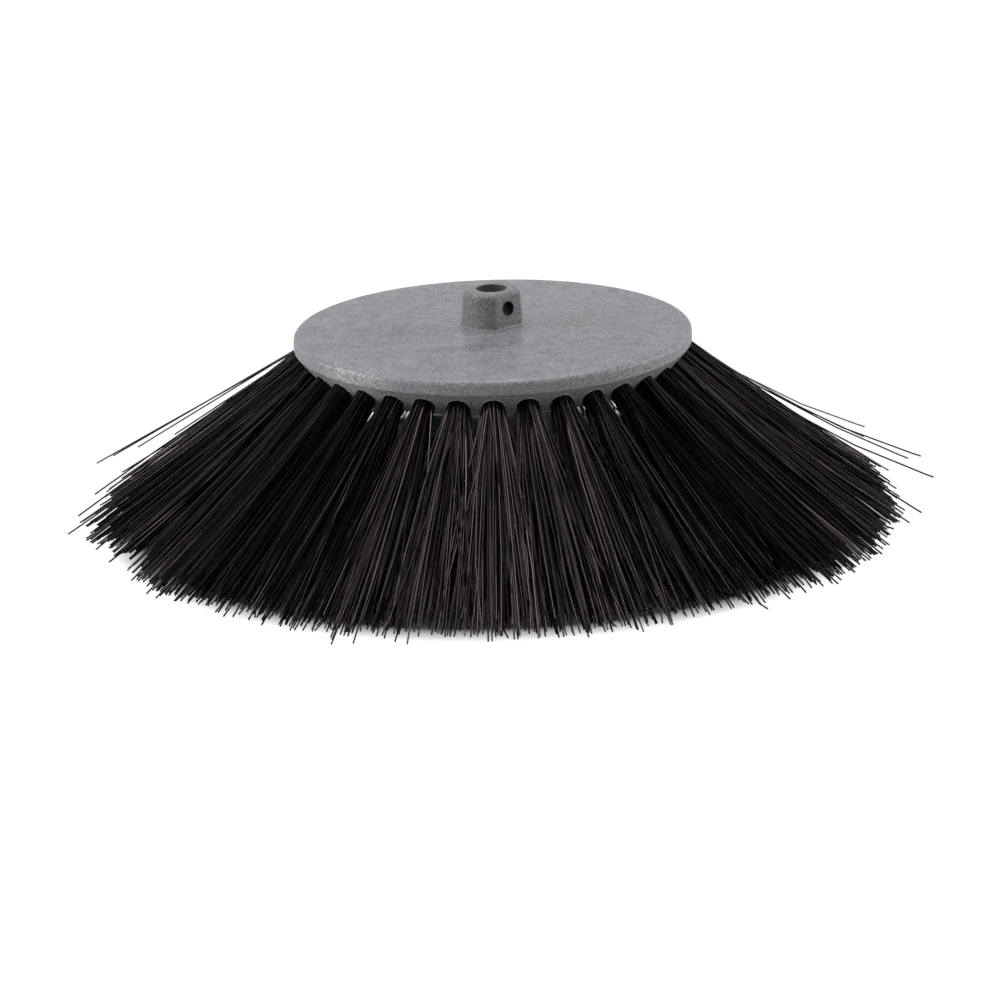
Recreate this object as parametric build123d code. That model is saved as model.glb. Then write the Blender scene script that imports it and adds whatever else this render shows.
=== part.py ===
import os
from math import cos, pi, radians, sin, sqrt, tan

from build123d import *

# Disc: a foamed polypropylene moulding, its rim's top edge at z = 0 and its axis on Z
disc_diameter = 190.0
rim_height = 6.5
rim_edge_radius = 2.5
crown_height = 3.0
tuft_face_width = 15.0

# Hub moulded on the disc, measured across at the rim's level, with a bore for the drive shaft,
# two flats and a cross hole for the shaft's bolt
hub_diameter = 29.3
hub_height = 16.6
hub_draft_angle = 3.0
hub_edge_radius = 2.5
hub_corner_radius = 1.5
flat_to_axis = 12.4
bore_diameter = 15.0
cross_hole_diameter = 7.0
cross_hole_height = 8.7

# Tuft holes drilled square into the conical face under the rim
tuft_count = 35
tuft_slope_angle = 38.0
tuft_hole_diameter = 10.4
tuft_hole_depth = 11.0
tuft_hole_to_rim = 9.0

# Bristle tufts, fanned out and trimmed level so that the brush stands on their tips
tuft_hole_clearance = 0.1
bundle_sides = 8
core_share = 0.45
tip_level = 92.0
tip_band_depth = 18.0
tuft_gap = 0.6
lock_growth = 1.2
tip_raggedness = 4.0
tuft_variants = 5

# Flat wire anchors, wedged across the holes to hold the folded bristles down
anchor_thickness = 0.5
anchor_width = 3.0
bristle_fold_height = 1.5

disc_radius = disc_diameter / 2
slope = radians(tuft_slope_angle)
pitch_angle = 360 / tuft_count
hub_top = crown_height + hub_height
block_bottom = -rim_height - tuft_face_width * cos(slope)
bundle_radius = tuft_hole_diameter / 2 - tuft_hole_clearance
length_step = 7
overshoot = 1.0

# A tuft's own plane at its hole's mouth: Z runs out along the bristles, X up in the radial plane
tuft_mouth = Plane(
    origin=(disc_radius - tuft_hole_to_rim * sin(slope), 0, -rim_height - tuft_hole_to_rim * cos(slope)),
    x_dir=(sin(slope), 0, cos(slope)),
    z_dir=(cos(slope), 0, -sin(slope)),
)


def around(shape, index):
    """The shape turned from the X axis to one of the tuft places on the disc."""
    return Rot(0, 0, index * pitch_angle) * shape


def make_tuft_hole():
    """The drilled hole of one tuft, run out past its mouth."""
    return tuft_mouth * Pos(0, 0, -tuft_hole_depth) * Cylinder(
        tuft_hole_diameter / 2,
        tuft_hole_depth + overshoot,
        align=(Align.CENTER, Align.CENTER, Align.MIN),
    )


def make_anchor():
    """One flat wire anchor, its corners on the wall of its hole, in the radial plane."""
    depth = tuft_hole_depth - bristle_fold_height - anchor_width / 2
    length = sqrt(tuft_hole_diameter**2 - anchor_thickness**2)
    return tuft_mouth * Pos(0, 0, -depth) * Box(length, anchor_thickness, anchor_width)


def disc_profile():
    """Half of the crowned disc: its upright rim and the conical face that the tufts leave."""
    face_foot = disc_radius - tuft_face_width * sin(slope)
    outline = Polyline(
        (0, crown_height),
        (disc_radius, 0),
        (disc_radius, -rim_height),
        (face_foot, block_bottom),
        (0, block_bottom),
        close=True,
    )
    profile = make_face(outline)
    rim_corner = profile.vertices().sort_by_distance((disc_radius, 0))[0]
    return fillet(rim_corner, rim_edge_radius)


def make_hub():
    """The drafted hub with its two flats and rounded edges, run down into the disc."""
    outline = Circle(hub_diameter / 2) & Rectangle(2 * flat_to_axis, hub_diameter)
    outline = fillet(outline.vertices(), hub_corner_radius)
    hub = extrude(outline, hub_top, taper=hub_draft_angle)
    return fillet(hub.faces().sort_by(Axis.Z)[-1].edges(), hub_edge_radius)


def make_block():
    """Disc and hub in one piece, with the bore, the cross hole and the tuft holes."""
    disc = revolve(Plane.XZ * disc_profile(), Axis.Z)
    bore = Pos(0, 0, block_bottom - overshoot) * Cylinder(
        bore_diameter / 2,
        hub_top - block_bottom + 2 * overshoot,
        align=(Align.CENTER, Align.CENTER, Align.MIN),
    )
    cross_hole = Pos(0, 0, crown_height + cross_hole_height) * Rot(0, 90, 0) * Cylinder(
        cross_hole_diameter / 2,
        2 * hub_diameter,
    )
    tuft_hole = make_tuft_hole()
    block = (disc - bore) + (make_hub() - [bore, cross_hole])
    return block - [around(tuft_hole, i) for i in range(tuft_count)]


def ring_point(radius, step):
    """A point on the mouth plane, counted in steps between the corners of the bundle."""
    angle = radians((step + 0.5) * 360 / bundle_sides)
    return Vector(radius * cos(angle), radius * sin(angle))


def lock_cells():
    """The triangles that share out the mouth of a tuft between its locks of bristles."""
    centre = Vector(0, 0)
    cells = []
    for step in range(0, bundle_sides, 2):
        inner = ring_point(core_share * bundle_radius, step)
        next_inner = ring_point(core_share * bundle_radius, step + 2)
        outer = [ring_point(bundle_radius, step + i) for i in range(3)]
        cells.append((centre, inner, next_inner))
        cells.append((inner, outer[0], outer[1]))
        cells.append((inner, outer[1], next_inner))
        cells.append((next_inner, outer[1], outer[2]))
    return cells


def cell_middle(cell):
    """The middle of a lock's cell on the mouth plane."""
    return (cell[0] + cell[1] + cell[2]) / 3


def make_lock(cell, spread, shortening):
    """One lock of bristles, from its cell at the mouth to its place in the fan at the tips."""
    middle = cell_middle(cell)
    corners = [(point - middle) * lock_growth for point in cell]
    half_depth = max(abs(corner.X) for corner in corners)
    half_width = max(abs(corner.Y) for corner in corners)
    rise = middle.X / spread.X * (tip_band_depth / 2 - half_depth)
    lowest = rise + min(corner.X for corner in corners)
    drop = tip_level - shortening + tuft_mouth.origin.Z + lowest * cos(slope)
    length = drop / sin(slope)
    tip_radius = tuft_mouth.origin.X + length * cos(slope) + lowest * sin(slope)
    half_room = tip_radius * tan(pi / tuft_count) - tuft_gap / 2 - half_width
    tip = Vector(rise, middle.Y / spread.Y * half_room, length)
    end = [tip + corner for corner in corners]
    sides = [(cell[i - 1], cell[i], end[i], end[i - 1]) for i in range(len(cell))]
    return Solid(Shell([Face(Wire.make_polygon(outline)) for outline in (cell, end, *sides)]))


def make_tuft(variant):
    """A tuft: the bundle in its hole, slotted over its anchor, and the locks that fan out of it."""
    bundle = extrude(
        RegularPolygon(bundle_radius, bundle_sides, rotation=180 / bundle_sides),
        -tuft_hole_depth,
    )
    cells = lock_cells()
    middles = [cell_middle(cell) for cell in cells]
    spread = Vector(max(middle.X for middle in middles), max(middle.Y for middle in middles))
    locks = []
    for i, cell in enumerate(cells):
        place = (i + variant * bundle_sides // 2) * length_step % len(cells)
        locks.append(make_lock(cell, spread, tip_raggedness * place / len(cells)))
    return tuft_mouth * (bundle + locks) - make_anchor()


os.makedirs("parts", exist_ok=True)
export_step(make_block(), "parts/brush_block.step")
tufts = [make_tuft(variant) for variant in range(tuft_variants)]
for i in range(tuft_count):
    export_step(around(tufts[i % tuft_variants], i), f"parts/tuft_{i + 1:02d}.step")
anchor = make_anchor()
anchors = Compound(children=[around(anchor, i) for i in range(tuft_count)])
export_step(anchors, "parts/tuft_anchors.step")
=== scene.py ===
import math
import random

import bpy
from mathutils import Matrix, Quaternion, Vector


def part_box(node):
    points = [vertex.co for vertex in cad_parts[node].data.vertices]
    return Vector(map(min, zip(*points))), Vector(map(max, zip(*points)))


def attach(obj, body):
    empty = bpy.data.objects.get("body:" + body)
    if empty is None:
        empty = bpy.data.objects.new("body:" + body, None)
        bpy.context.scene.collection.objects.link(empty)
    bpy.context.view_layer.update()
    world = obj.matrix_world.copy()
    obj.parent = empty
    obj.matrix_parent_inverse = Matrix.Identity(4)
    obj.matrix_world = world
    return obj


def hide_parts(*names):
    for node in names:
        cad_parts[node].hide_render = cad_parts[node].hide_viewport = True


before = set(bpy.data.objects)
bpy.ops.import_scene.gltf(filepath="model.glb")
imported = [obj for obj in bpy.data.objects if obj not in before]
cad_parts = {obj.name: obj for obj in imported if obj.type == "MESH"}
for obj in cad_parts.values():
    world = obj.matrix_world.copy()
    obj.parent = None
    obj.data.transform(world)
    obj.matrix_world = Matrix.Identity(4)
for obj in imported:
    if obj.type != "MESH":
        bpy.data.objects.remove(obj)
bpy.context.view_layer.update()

bpy.ops.object.select_all(action="DESELECT")

# Brush block: disc and hub moulded in one piece from grey foamed polypropylene.
# The foaming gas leaves marbled swirls and streaks from the gate under a half-glossy skin, and a grainy
# rim and hub, the hub's skin painted darker as shade; the drill leaves burrs round the mouths of the tuft
# holes, painted pale as a highlight where their edges catch the light.
MM = 0.001
disc_radius = 95 * MM
rim_height = 6.5 * MM
tuft_count = 35
slope = math.radians(38)
hole_radius = 5.2 * MM
hole_to_rim = 9 * MM
mouth_radius = disc_radius - hole_to_rim * math.sin(slope)
mouth_height = -rim_height - hole_to_rim * math.cos(slope)
gate_place = (16.8 * MM, 33.1 * MM, 0)
streak_reach = 42 * MM
streaks_per_radian = 7
swirl_size = 22 * MM
mottle_size = 1.1 * MM
grain_size = 0.9 * MM
relief_depth = 0.2 * MM
hub_reach = 15.5 * MM
hub_skin_blend = 1 * MM
hub_foot_radius = 14.5 * MM
hub_foot_to_flat = 12.3 * MM
hub_foot_height = 3.05 * MM
hub_top = 19.6 * MM
bore_radius = 7.5 * MM
cross_hole_radius = 3.5 * MM
cross_hole_height = 11.7 * MM
wall_margin = 0.02 * MM
rim_skin_top = 0.5 * MM
rim_skin_full = -1.5 * MM
burr_width = 0.8 * MM
foot_line_width = 0.7 * MM
foot_line_core = 0.2 * MM
foot_line_paleness = 0.65
lip_width = 0.6 * MM
lip_depth = 0.3 * MM
lip_paleness = 0.45
scuff_place = (9 * MM, -94.5 * MM, -2.5 * MM)
scuff_reach = 26 * MM
scuff_core = 8 * MM
scuff_paleness = 0.7


def linear(hex_colour):
    """An sRGB hex colour as linear red, green, blue and alpha."""
    channels = [int(hex_colour[i:i + 2], 16) / 255 for i in (1, 3, 5)]
    return [c / 12.92 if c <= 0.04045 else ((c + 0.055) / 1.055) ** 2.4 for c in channels] + [1]


def add(tree, kind, settings={}, **inputs):
    """Adds a node with its settings; each input is a value, or an output socket to link from."""
    node = tree.nodes.new(kind)
    for name, value in settings.items():
        setattr(node, name, value)
    for name, value in inputs.items():
        key = int(name[1:]) if name[1:].isdigit() else name.replace("_", " ")
        socket = node.inputs[key]
        if isinstance(value, bpy.types.NodeSocket):
            tree.links.new(value, socket)
        else:
            socket.default_value = value
    return node


def new_material(name):
    """A node material with an empty tree."""
    material = bpy.data.materials.new(name)
    material.use_nodes = True
    material.node_tree.nodes.clear()
    return material, material.node_tree


def round_place(tree):
    """The place on a round piece, its parts on each axis, its part in plan and its radius."""
    place = add(tree, "ShaderNodeTexCoord").outputs["Object"]
    axes = add(tree, "ShaderNodeSeparateXYZ", Vector=place).outputs
    plan = add(tree, "ShaderNodeCombineXYZ", X=axes["X"], Y=axes["Y"]).outputs[0]
    radius = add(tree, "ShaderNodeVectorMath", {"operation": "LENGTH"}, i0=plan).outputs["Value"]
    return place, axes, plan, radius


foamed_plastic, tree = new_material("foamed polypropylene, grey")
place, axes, plan, radius = round_place(tree)

from_gate = add(
    tree,
    "ShaderNodeVectorMath",
    {"operation": "SUBTRACT"},
    i0=plan,
    i1=gate_place,
).outputs[0]
gate_axes = add(tree, "ShaderNodeSeparateXYZ", Vector=from_gate).outputs
gate_turn = add(
    tree,
    "ShaderNodeMath",
    {"operation": "ARCTAN2"},
    i0=gate_axes["Y"],
    i1=gate_axes["X"],
).outputs[0]
gate_radius = add(tree, "ShaderNodeVectorMath", {"operation": "LENGTH"}, i0=from_gate).outputs["Value"]
gate_way = add(
    tree,
    "ShaderNodeMath",
    {"operation": "DIVIDE"},
    i0=gate_radius,
    i1=streak_reach,
).outputs[0]
streak_place = add(tree, "ShaderNodeCombineXYZ", X=gate_turn, Y=gate_way).outputs[0]
streak = add(
    tree,
    "ShaderNodeTexNoise",
    Vector=streak_place,
    Scale=streaks_per_radian,
    Detail=3.0,
).outputs["Fac"]
streak = add(tree, "ShaderNodeMapRange", Value=streak, From_Min=0.3, From_Max=0.7).outputs[0]
streak_share = add(
    tree,
    "ShaderNodeMapRange",
    Value=gate_way,
    From_Min=0.1,
    From_Max=1.0,
    To_Min=0.8,
    To_Max=0.1,
).outputs[0]
swirl = add(
    tree,
    "ShaderNodeTexNoise",
    Vector=place,
    Scale=1 / swirl_size,
    Detail=5.0,
    Roughness=0.5,
    Distortion=2.6,
).outputs["Fac"]
mottle = add(
    tree,
    "ShaderNodeTexNoise",
    Vector=place,
    Scale=1 / mottle_size,
    Detail=5.0,
    Distortion=0.8,
).outputs["Fac"]
grain = add(tree, "ShaderNodeTexNoise", Vector=place, Scale=1 / grain_size, Detail=2.0).outputs["Fac"]
swirl = add(tree, "ShaderNodeMapRange", Value=swirl, From_Min=0.3, From_Max=0.7).outputs[0]
flow = add(tree, "ShaderNodeMix", i0=streak_share, i2=swirl, i3=streak).outputs[0]
fleck = add(tree, "ShaderNodeMapRange", Value=mottle, From_Min=0.4, From_Max=0.6).outputs[0]
mark_share = add(tree, "ShaderNodeMix", i0=0.55, i2=flow, i3=fleck).outputs[0]
smooth_skin = add(
    tree,
    "ShaderNodeMix",
    {"data_type": "RGBA"},
    i0=mark_share,
    i6=linear("#595e64"),
    i7=linear("#a8a7ac"),
).outputs[2]

on_hub = add(
    tree,
    "ShaderNodeMapRange",
    Value=radius,
    From_Min=hub_reach,
    From_Max=hub_reach - hub_skin_blend,
).outputs[0]
on_rim = add(
    tree,
    "ShaderNodeMapRange",
    Value=axes["Z"],
    From_Min=rim_skin_top,
    From_Max=rim_skin_full,
).outputs[0]
grainy = add(tree, "ShaderNodeMath", {"operation": "MAXIMUM"}, i0=on_hub, i1=on_rim).outputs[0]
grain_mark = add(tree, "ShaderNodeMix", i0=0.5, i2=grain, i3=mottle).outputs[0]
grain_share = add(tree, "ShaderNodeMapRange", Value=grain_mark, From_Min=0.38, From_Max=0.62).outputs[0]
rim_skin = add(
    tree,
    "ShaderNodeMix",
    {"data_type": "RGBA"},
    i0=grain_share,
    i6=linear("#7d8085"),
    i7=linear("#b8babe"),
).outputs[2]
# Painted shade: the hub's grainy skin is a darker copy of the rim's.
hub_skin_painted_shade = add(
    tree,
    "ShaderNodeMix",
    {"data_type": "RGBA"},
    i0=grain_share,
    i6=linear("#65676b"),
    i7=linear("#9c9e9f"),
).outputs[2]
skin = add(
    tree,
    "ShaderNodeMix",
    {"data_type": "RGBA"},
    i0=on_rim,
    i6=smooth_skin,
    i7=rim_skin,
).outputs[2]
skin = add(tree, "ShaderNodeMix", {"data_type": "RGBA"}, i0=on_hub, i6=skin, i7=hub_skin_painted_shade).outputs[2]

# Pale burrs round the tuft holes, painted pale as a highlight where their edges catch the light, by the
# distance from the nearest mouth along the conical face
turn = add(tree, "ShaderNodeMath", {"operation": "ARCTAN2"}, i0=axes["Y"], i1=axes["X"]).outputs[0]
pitch = 2 * math.pi / tuft_count
half_on = add(tree, "ShaderNodeMath", {"operation": "ADD"}, i0=turn, i1=pitch / 2).outputs[0]
tuft_turn = add(tree, "ShaderNodeMath", {"operation": "SNAP"}, i0=half_on, i1=pitch).outputs[0]
off_turn = add(tree, "ShaderNodeMath", {"operation": "SUBTRACT"}, i0=turn, i1=tuft_turn).outputs[0]
across = add(tree, "ShaderNodeMath", {"operation": "MULTIPLY"}, i0=off_turn, i1=radius).outputs[0]
off_mouth = add(
    tree,
    "ShaderNodeMath",
    {"operation": "SUBTRACT"},
    i0=axes["Z"],
    i1=mouth_height,
).outputs[0]
up_face = add(tree, "ShaderNodeMath", {"operation": "DIVIDE"}, i0=off_mouth, i1=math.cos(slope)).outputs[0]
from_mouth = add(tree, "ShaderNodeCombineXYZ", X=across, Y=up_face).outputs[0]
mouth_gap = add(tree, "ShaderNodeVectorMath", {"operation": "LENGTH"}, i0=from_mouth).outputs["Value"]
burr_and_highlight = add(
    tree,
    "ShaderNodeMapRange",
    Value=mouth_gap,
    From_Min=hole_radius + burr_width,
    From_Max=hole_radius + burr_width / 2,
).outputs[0]
outside = add(
    tree,
    "ShaderNodeMath",
    {"operation": "GREATER_THAN"},
    i0=mouth_gap,
    i1=hole_radius + wall_margin,
).outputs[0]
burr_and_highlight = add(tree, "ShaderNodeMath", {"operation": "MULTIPLY"}, i0=burr_and_highlight, i1=outside).outputs[0]

# Pale line round the hub's foot, and a painted highlight on the lip of the bore
flat_reach = add(tree, "ShaderNodeMath", {"operation": "ABSOLUTE"}, i0=axes["X"]).outputs[0]
off_flat = add(
    tree,
    "ShaderNodeMath",
    {"operation": "SUBTRACT"},
    i0=flat_reach,
    i1=hub_foot_to_flat,
).outputs[0]
off_round = add(
    tree,
    "ShaderNodeMath",
    {"operation": "SUBTRACT"},
    i0=radius,
    i1=hub_foot_radius,
).outputs[0]
off_hub = add(tree, "ShaderNodeMath", {"operation": "MAXIMUM"}, i0=off_flat, i1=off_round).outputs[0]
foot = add(
    tree,
    "ShaderNodeMapRange",
    Value=off_hub,
    From_Min=foot_line_width,
    From_Max=foot_line_core,
    To_Max=foot_line_paleness,
).outputs[0]
low = add(
    tree,
    "ShaderNodeMath",
    {"operation": "LESS_THAN"},
    i0=axes["Z"],
    i1=hub_foot_height,
).outputs[0]
foot = add(tree, "ShaderNodeMath", {"operation": "MULTIPLY"}, i0=foot, i1=low).outputs[0]
lip_highlight = add(
    tree,
    "ShaderNodeMapRange",
    Value=radius,
    From_Min=bore_radius + lip_width,
    From_Max=bore_radius + lip_width / 2,
    To_Max=lip_paleness,
).outputs[0]
high = add(
    tree,
    "ShaderNodeMath",
    {"operation": "GREATER_THAN"},
    i0=axes["Z"],
    i1=hub_top - lip_depth,
).outputs[0]
lip_highlight = add(tree, "ShaderNodeMath", {"operation": "MULTIPLY"}, i0=lip_highlight, i1=high).outputs[0]

# Pale scuff on one side of the rim
from_scuff = add(
    tree,
    "ShaderNodeVectorMath",
    {"operation": "DISTANCE"},
    i0=place,
    i1=scuff_place,
).outputs["Value"]
scuff = add(
    tree,
    "ShaderNodeMapRange",
    Value=from_scuff,
    From_Min=scuff_reach,
    From_Max=scuff_core,
    To_Max=scuff_paleness,
).outputs[0]
scuff = add(tree, "ShaderNodeMath", {"operation": "MULTIPLY"}, i0=scuff, i1=on_rim).outputs[0]

# All pale marks together, painted highlights among them, broken up by the mottle
pale_edge = burr_and_highlight
for mark in (foot, lip_highlight, scuff):
    pale_edge = add(tree, "ShaderNodeMath", {"operation": "MAXIMUM"}, i0=pale_edge, i1=mark).outputs[0]
pale_patch = add(tree, "ShaderNodeMapRange", Value=mottle, From_Min=0.4, From_Max=0.54).outputs[0]
pale_edge = add(
    tree,
    "ShaderNodeMath",
    {"operation": "MULTIPLY"},
    i0=pale_edge,
    i1=pale_patch,
).outputs[0]
finish = add(
    tree,
    "ShaderNodeMix",
    {"data_type": "RGBA"},
    i0=pale_edge,
    i6=skin,
    i7=linear("#dcdee0"),
).outputs[2]

# Painted shade: dark walls of the cross hole and, less dark, of the bore
in_bore = add(
    tree,
    "ShaderNodeMath",
    {"operation": "LESS_THAN"},
    i0=radius,
    i1=bore_radius + wall_margin,
).outputs[0]
finish = add(
    tree,
    "ShaderNodeMix",
    {"data_type": "RGBA"},
    i0=in_bore,
    i6=finish,
    i7=linear("#5e5f62"),
).outputs[2]
pin_up = add(
    tree,
    "ShaderNodeMath",
    {"operation": "SUBTRACT"},
    i0=axes["Z"],
    i1=cross_hole_height,
).outputs[0]
from_pin = add(tree, "ShaderNodeCombineXYZ", X=axes["Y"], Y=pin_up).outputs[0]
pin_gap = add(tree, "ShaderNodeVectorMath", {"operation": "LENGTH"}, i0=from_pin).outputs["Value"]
in_pin = add(
    tree,
    "ShaderNodeMath",
    {"operation": "LESS_THAN"},
    i0=pin_gap,
    i1=cross_hole_radius + wall_margin,
).outputs[0]
in_pin = add(tree, "ShaderNodeMath", {"operation": "MULTIPLY"}, i0=in_pin, i1=on_hub).outputs[0]
finish = add(
    tree,
    "ShaderNodeMix",
    {"data_type": "RGBA"},
    i0=in_pin,
    i6=finish,
    i7=linear("#1e1f20"),
).outputs[2]

gloss = add(tree, "ShaderNodeMapRange", Value=grainy, To_Min=0.33, To_Max=0.55).outputs[0]
bump = add(tree, "ShaderNodeBump", Height=grain_mark, Strength=0.35, Distance=relief_depth).outputs[0]
shader = add(
    tree,
    "ShaderNodeBsdfPrincipled",
    Base_Color=finish,
    Roughness=gloss,
    Normal=bump,
    IOR=1.49,
)
add(tree, "ShaderNodeOutputMaterial", Surface=shader.outputs["BSDF"])
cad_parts["brush_block"].material_slots[0].material = foamed_plastic

# Tuft anchors: short lengths of flat steel wire, pressed across the holes over the folded bristles.
# Drawn wire is bright, with fine scratches that break up its polish.
scratch_size = 0.3 * MM
drawn_wire, tree = new_material("drawn steel wire, bright")
place = add(tree, "ShaderNodeTexCoord").outputs["Object"]
scratch = add(tree, "ShaderNodeTexNoise", Vector=place, Scale=1 / scratch_size, Detail=2.0)
polish = add(tree, "ShaderNodeMapRange", Value=scratch.outputs["Fac"], To_Min=0.25, To_Max=0.45)
shader = add(
    tree,
    "ShaderNodeBsdfPrincipled",
    Base_Color=linear("#b9b9bb"),
    Metallic=1.0,
    Roughness=polish.outputs["Result"],
)
add(tree, "ShaderNodeOutputMaterial", Surface=shader.outputs["BSDF"])
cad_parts["tuft_anchors"].material_slots[0].material = drawn_wire

# Bristle tufts: straight round bristles of black extruded polypropylene, folded in half in their hole.
# They leave the mouth as a tight bundle, fan out until the tufts meet, cross here and there,
# and are trimmed roughly level, so that their cut ends make a ragged hem.
bristle_radius = 0.4 * MM
bristle_count = 118
bundle_radius = 4.7 * MM
start_depth = 6 * MM
fan_width = 20.5 * MM
outer_depth = 4.5 * MM
inner_depth = 16 * MM
inner_fall = 0.7
bend_places = (0.03, 0.35, 0.7, 0.97, 1)
tip_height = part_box("tuft_01")[0][2]
golden_turn = math.pi * (3 - math.sqrt(5))
# How unevenly the tufts lie, and then the bristles in each
tuft_lift = 0.8 * MM
tuft_lean = 2.2 * MM
tuft_trim = 1.8 * MM
turn_waver = 0.15
rise_waver = 1 * MM
side_waver = 3 * MM
crossing_share = 0.12
crossing_reach = 1.3
tip_raggedness = 3.5 * MM
short_share = 0.1
least_short = 3 * MM
most_short = 14 * MM
raised_share = 0.05
least_raised = 2 * MM
most_raised = 6 * MM
hollow_bow = -1.6 * MM
hollow_waver = 0.8 * MM
splay_bow = 2.5 * MM
splay_waver = 1.2 * MM
hooked_share = 0.08
hook_up = 0.7 * MM
hook_across = 1.1 * MM
stray_foot_up = 0.7 * bundle_radius
stray_foot_aside = 0.5 * bundle_radius
stray_bow_waver = 1.5 * MM
smooth_angle = math.radians(60)
dark_bristle_bias = 1.35
# Bristles that the trimming missed: tuft, degrees below level, degrees aside, length and bow in mm
stray_bristles = [
    (5, 30, 2, 142, -5),
    (6, 29, -3, 140, -6),
    (6, 31, 1, 139, -4),
    (7, 30, 4, 133, -5),
    (7, 32, -1, 128, -3),
    (4, 34, 2, 138, -2),
    (21, 29, -2, 131, 0),
    (20, 30, 2, 136, 0),
    (21, 35, 3, 130, 1),
    (22, 34, 1, 138, 0),
    (20, 31, -3, 128, 0),
    (19, 32, 0, 126, 0),
    (22, 33, -4, 128, 1),
]

# Extruded bristle is smooth, so each one shows a thin line of light, brighter on some than on others
black_bristle, tree = new_material("extruded polypropylene, black")
tone = add(tree, "ShaderNodeAttribute", {"attribute_name": "bristle_tone"}).outputs["Fac"]
colour = add(
    tree,
    "ShaderNodeMix",
    {"data_type": "RGBA"},
    i0=tone,
    i6=linear("#020202"),
    i7=linear("#0f0b0c"),
).outputs[2]
sheen = add(tree, "ShaderNodeMapRange", Value=tone, To_Min=0.38, To_Max=0.19).outputs[0]
shine = add(tree, "ShaderNodeMapRange", Value=tone, To_Min=0.03, To_Max=1.0).outputs[0]
shader = add(
    tree,
    "ShaderNodeBsdfPrincipled",
    Base_Color=colour,
    Roughness=sheen,
    IOR=1.55,
    Specular_IOR_Level=shine,
    Specular_Tint=linear("#ffe6ea"),
)
add(tree, "ShaderNodeOutputMaterial", Surface=shader.outputs["BSDF"])


def bristle_line(foot, tip, bow, hook):
    """A bristle from inside its hole to its tip, on its tuft's own axes: up, across and along."""
    points = [(foot[0], foot[1], -start_depth)]
    for part in bend_places:
        sag = 4 * part * (1 - part)
        bend = hook if part == 1 else (0, 0)
        points.append(
            (
                foot[0] + (tip[0] - foot[0]) * part + bow[0] * sag + bend[0],
                foot[1] + (tip[1] - foot[1]) * part + bow[1] * sag + bend[1],
                tip[2] * part,
            )
        )
    return points


def fanned_bristle(rng, index, lift, lean, trim):
    """One bristle of a fan with its own lie, trimmed near the level of the tips."""
    share = math.sqrt((index + 0.5) / bristle_count)
    turn = index * golden_turn + rng.gauss(0, turn_waver)
    up = share * math.cos(turn)
    across = share * math.sin(turn)
    foot = (bundle_radius * up, bundle_radius * across)
    depth = outer_depth * up if up > 0 else -inner_depth * (-up) ** inner_fall
    rise = depth + lift + rng.gauss(0, rise_waver)
    side = fan_width * across + lean + rng.gauss(0, side_waver)
    if rng.random() < crossing_share:
        side = fan_width * rng.uniform(-crossing_reach, crossing_reach)
    cut = tip_height + trim + abs(rng.gauss(0, tip_raggedness))
    if rng.random() < short_share:
        cut += rng.uniform(least_short, most_short)
    if rng.random() < raised_share:
        rise += rng.uniform(least_raised, most_raised)
    way = (mouth_height - cut + rise * math.cos(slope)) / math.sin(slope)
    bow = (rng.gauss(hollow_bow, hollow_waver), rng.gauss(splay_bow * across, splay_waver))
    hook = (0, 0)
    if rng.random() < hooked_share:
        hook = (rng.gauss(0, hook_up), rng.gauss(0, hook_across))
    return bristle_line(foot, (rise, side, way), bow, hook)


def stray_bristle(rng, fall, aside, length, bow):
    """One bristle that stands out of the fan."""
    lift = slope - math.radians(fall)
    lean = math.radians(aside)
    foot = (stray_foot_up, rng.uniform(-stray_foot_aside, stray_foot_aside))
    tip = (
        length * MM * math.sin(lift),
        length * MM * math.sin(lean),
        length * MM * math.cos(lift),
    )
    return bristle_line(foot, tip, (bow * MM, rng.gauss(0, stray_bow_waver)), (0, 0))


for number in range(tuft_count):
    rng = random.Random(number)
    node = f"tuft_{number + 1:02d}"
    turn = 2 * math.pi * number / tuft_count
    outwards = Vector((math.cos(turn), math.sin(turn), 0))
    across = Vector((-math.sin(turn), math.cos(turn), 0))
    along = outwards * math.cos(slope) - Vector((0, 0, math.sin(slope)))
    up = outwards * math.sin(slope) + Vector((0, 0, math.cos(slope)))
    mouth = outwards * mouth_radius + Vector((0, 0, mouth_height))
    lie = (rng.gauss(0, tuft_lift), rng.gauss(0, tuft_lean), abs(rng.gauss(0, tuft_trim)))
    lines = [fanned_bristle(rng, index, *lie) for index in range(bristle_count)]
    lines += [stray_bristle(rng, *stray[1:]) for stray in stray_bristles if stray[0] == number]
    curve = bpy.data.curves.new(f"bristles_{number + 1:02d}", "CURVE")
    curve.dimensions = "3D"
    curve.bevel_depth = bristle_radius
    curve.bevel_resolution = 1
    curve.use_fill_caps = True
    for line in lines:
        spline = curve.splines.new("POLY")
        spline.points.add(len(line) - 1)
        for point, (rise, side, way) in zip(spline.points, line):
            spot = mouth + up * rise + across * side + along * way
            point.co = (spot.x, spot.y, max(spot.z, tip_height + bristle_radius), 1)
    piece = bpy.data.objects.new(curve.name, curve)
    bpy.context.collection.objects.link(piece)
    bpy.ops.object.select_all(action="DESELECT")
    bpy.context.view_layer.objects.active = piece
    piece.select_set(True)
    bpy.ops.object.convert(target="MESH")
    bpy.ops.object.shade_smooth_by_angle(angle=smooth_angle)
    piece = bpy.context.object
    mesh = piece.data
    tones = mesh.attributes.new("bristle_tone", "FLOAT", "POINT")
    corners = len(mesh.vertices) // len(lines)
    values = [rng.random() ** dark_bristle_bias for line in lines]
    tones.data.foreach_set("value", [values[i // corners] for i in range(len(mesh.vertices))])
    mesh.materials.append(black_bristle)
    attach(piece, "root")
    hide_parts(node)
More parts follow.
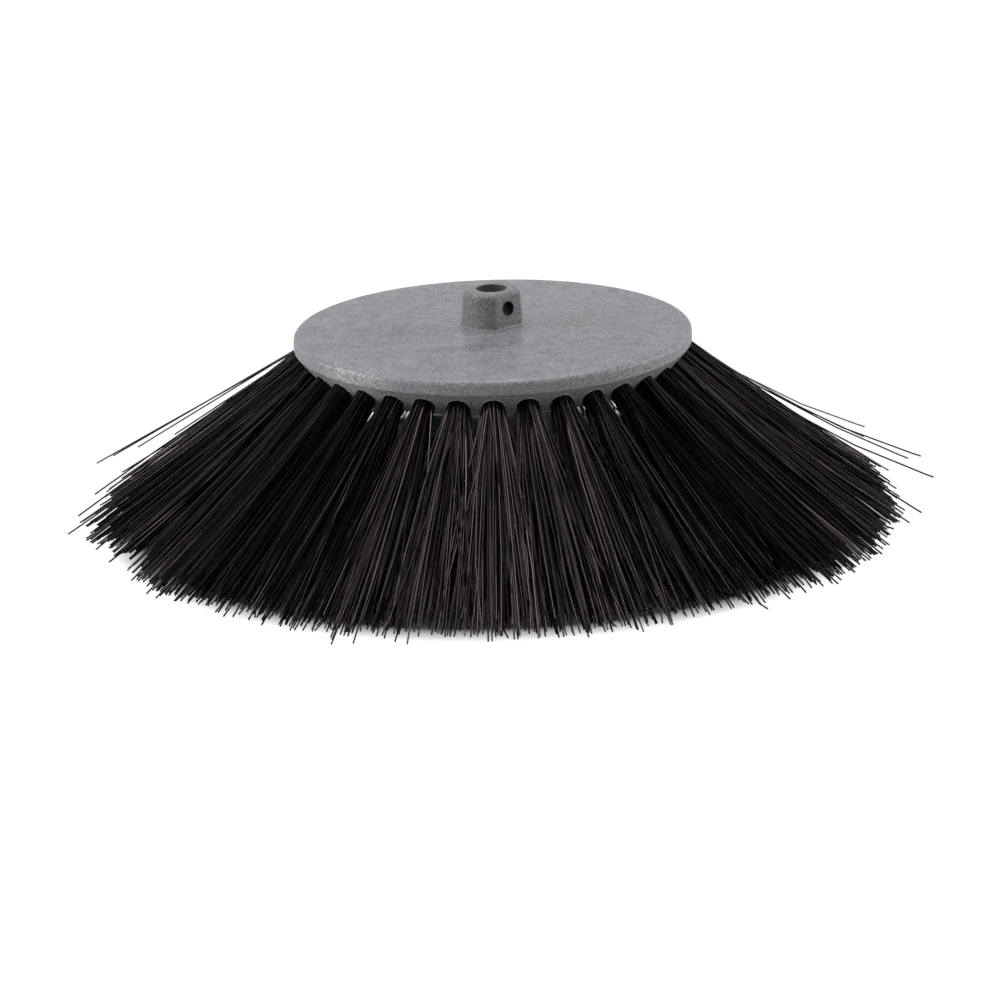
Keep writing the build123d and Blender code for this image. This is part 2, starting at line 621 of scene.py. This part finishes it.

# Studio: a pale floor under the bristle tips, soft panels above and at the sides, a bright back wall.
# The floor shows white round the brush and keeps its shadow; under the brush its glow is taken away, a
# painted shadow that is deep between the tufts.
floor_size = 40
painted_shadow_reach = 173 * MM
white_reach = 190 * MM
floor_glow_share = 0.75
floor_glow = 1.27
room_light = 0.05
bpy.ops.object.select_all(action="DESELECT")
bpy.ops.mesh.primitive_plane_add(size=floor_size, location=(0, 0, tip_height))
floor = bpy.context.object
floor.name = "floor"
bpy.ops.object.transform_apply(location=True)
pale_floor, tree = new_material("pale paper floor")
rays = add(tree, "ShaderNodeLightPath").outputs
seen = add(
    tree,
    "ShaderNodeMath",
    {"operation": "MAXIMUM"},
    i0=rays["Is Camera Ray"],
    i1=rays["Is Glossy Ray"],
).outputs[0]
seen = add(
    tree,
    "ShaderNodeMath",
    {"operation": "MAXIMUM"},
    i0=seen,
    i1=rays["Is Transmission Ray"],
).outputs[0]
radius = round_place(tree)[-1]
# Painted shadow: no glow on the floor under the brush, the full glow outside the tips.
glow_round_painted_shadow = add(
    tree,
    "ShaderNodeMapRange",
    Value=radius,
    From_Min=painted_shadow_reach,
    From_Max=white_reach,
    To_Max=floor_glow_share,
).outputs[0]
white_share = add(tree, "ShaderNodeMath", {"operation": "MULTIPLY"}, i0=seen, i1=glow_round_painted_shadow).outputs[0]
paper = add(tree, "ShaderNodeBsdfDiffuse", Color=linear("#a8a8a8")).outputs[0]
white = add(tree, "ShaderNodeEmission", Color=(1, 1, 1, 1), Strength=floor_glow).outputs[0]
mix = add(tree, "ShaderNodeMixShader", i0=white_share, i1=paper, i2=white)
add(tree, "ShaderNodeOutputMaterial", Surface=mix.outputs[0])
floor.data.materials.append(pale_floor)

world = bpy.data.worlds.new("studio room")
bpy.context.scene.world = world
world.use_nodes = True
background = world.node_tree.nodes["Background"]
background.inputs["Color"].default_value = (1, 1, 1, 1)
background.inputs["Strength"].default_value = room_light

view_turn = math.radians(39.14) + 2 * math.pi / tuft_count
right = Vector((math.cos(view_turn), math.sin(view_turn), 0))
back = Vector((-math.sin(view_turn), math.cos(view_turn), 0))
above = Vector((0, 0, 1))


def soft_panel(name, place, width, height, power):
    """A light panel that faces the brush."""
    bpy.ops.object.light_add(type="AREA", location=place)
    panel = bpy.context.object
    panel.name = name
    panel.data.shape = "RECTANGLE"
    panel.data.size = width
    panel.data.size_y = height
    panel.data.energy = power
    panel.rotation_euler = (-Vector(place)).to_track_quat("-Z", "Y").to_euler()
    panel.visible_camera = False


soft_panel("overhead panel", back * 0.3 + above * 1.5, 1.2, 1.2, 17.6)
soft_panel("left panel", right * -1.5 - back * 0.1 + above * 0.45, 0.9, 0.6, 11.5)
soft_panel("right panel", right * 1.5 + back * 0.3 + above * 0.45, 0.9, 0.6, 10.5)
soft_panel("back wall", back * 2.0 + above * 0.6, 3.0, 1.2, 6)
soft_panel("front panel", back * -1.7 + right * 0.1 + above * 0.9, 1.2, 0.6, 6)

# Camera: a long lens, a little above the brush and tilted by a hair, as the picture was taken.
view_rise = math.radians(14.97)
view_roll = math.radians(1.64)
view_distance = 2.0
focal_pixels = 4188.8
image_pixels = 1000
aim_right = 1.2 * MM
aim_down = 82.2 * MM
forward = back * math.cos(view_rise) - above * math.sin(view_rise)
view_up = back * math.sin(view_rise) + above * math.cos(view_rise)
eye = -forward * view_distance
target = right * aim_right - view_up * aim_down
bpy.ops.object.camera_add(location=eye)
camera = bpy.context.object
camera.data.sensor_width = 36
camera.data.lens = focal_pixels / image_pixels * camera.data.sensor_width
aim = (target - eye).to_track_quat("-Z", "Y")
camera.rotation_euler = (aim @ Quaternion((0, 0, 1), -view_roll)).to_euler()
bpy.context.scene.camera = camera
bpy.context.scene.view_settings.view_transform = "Standard"
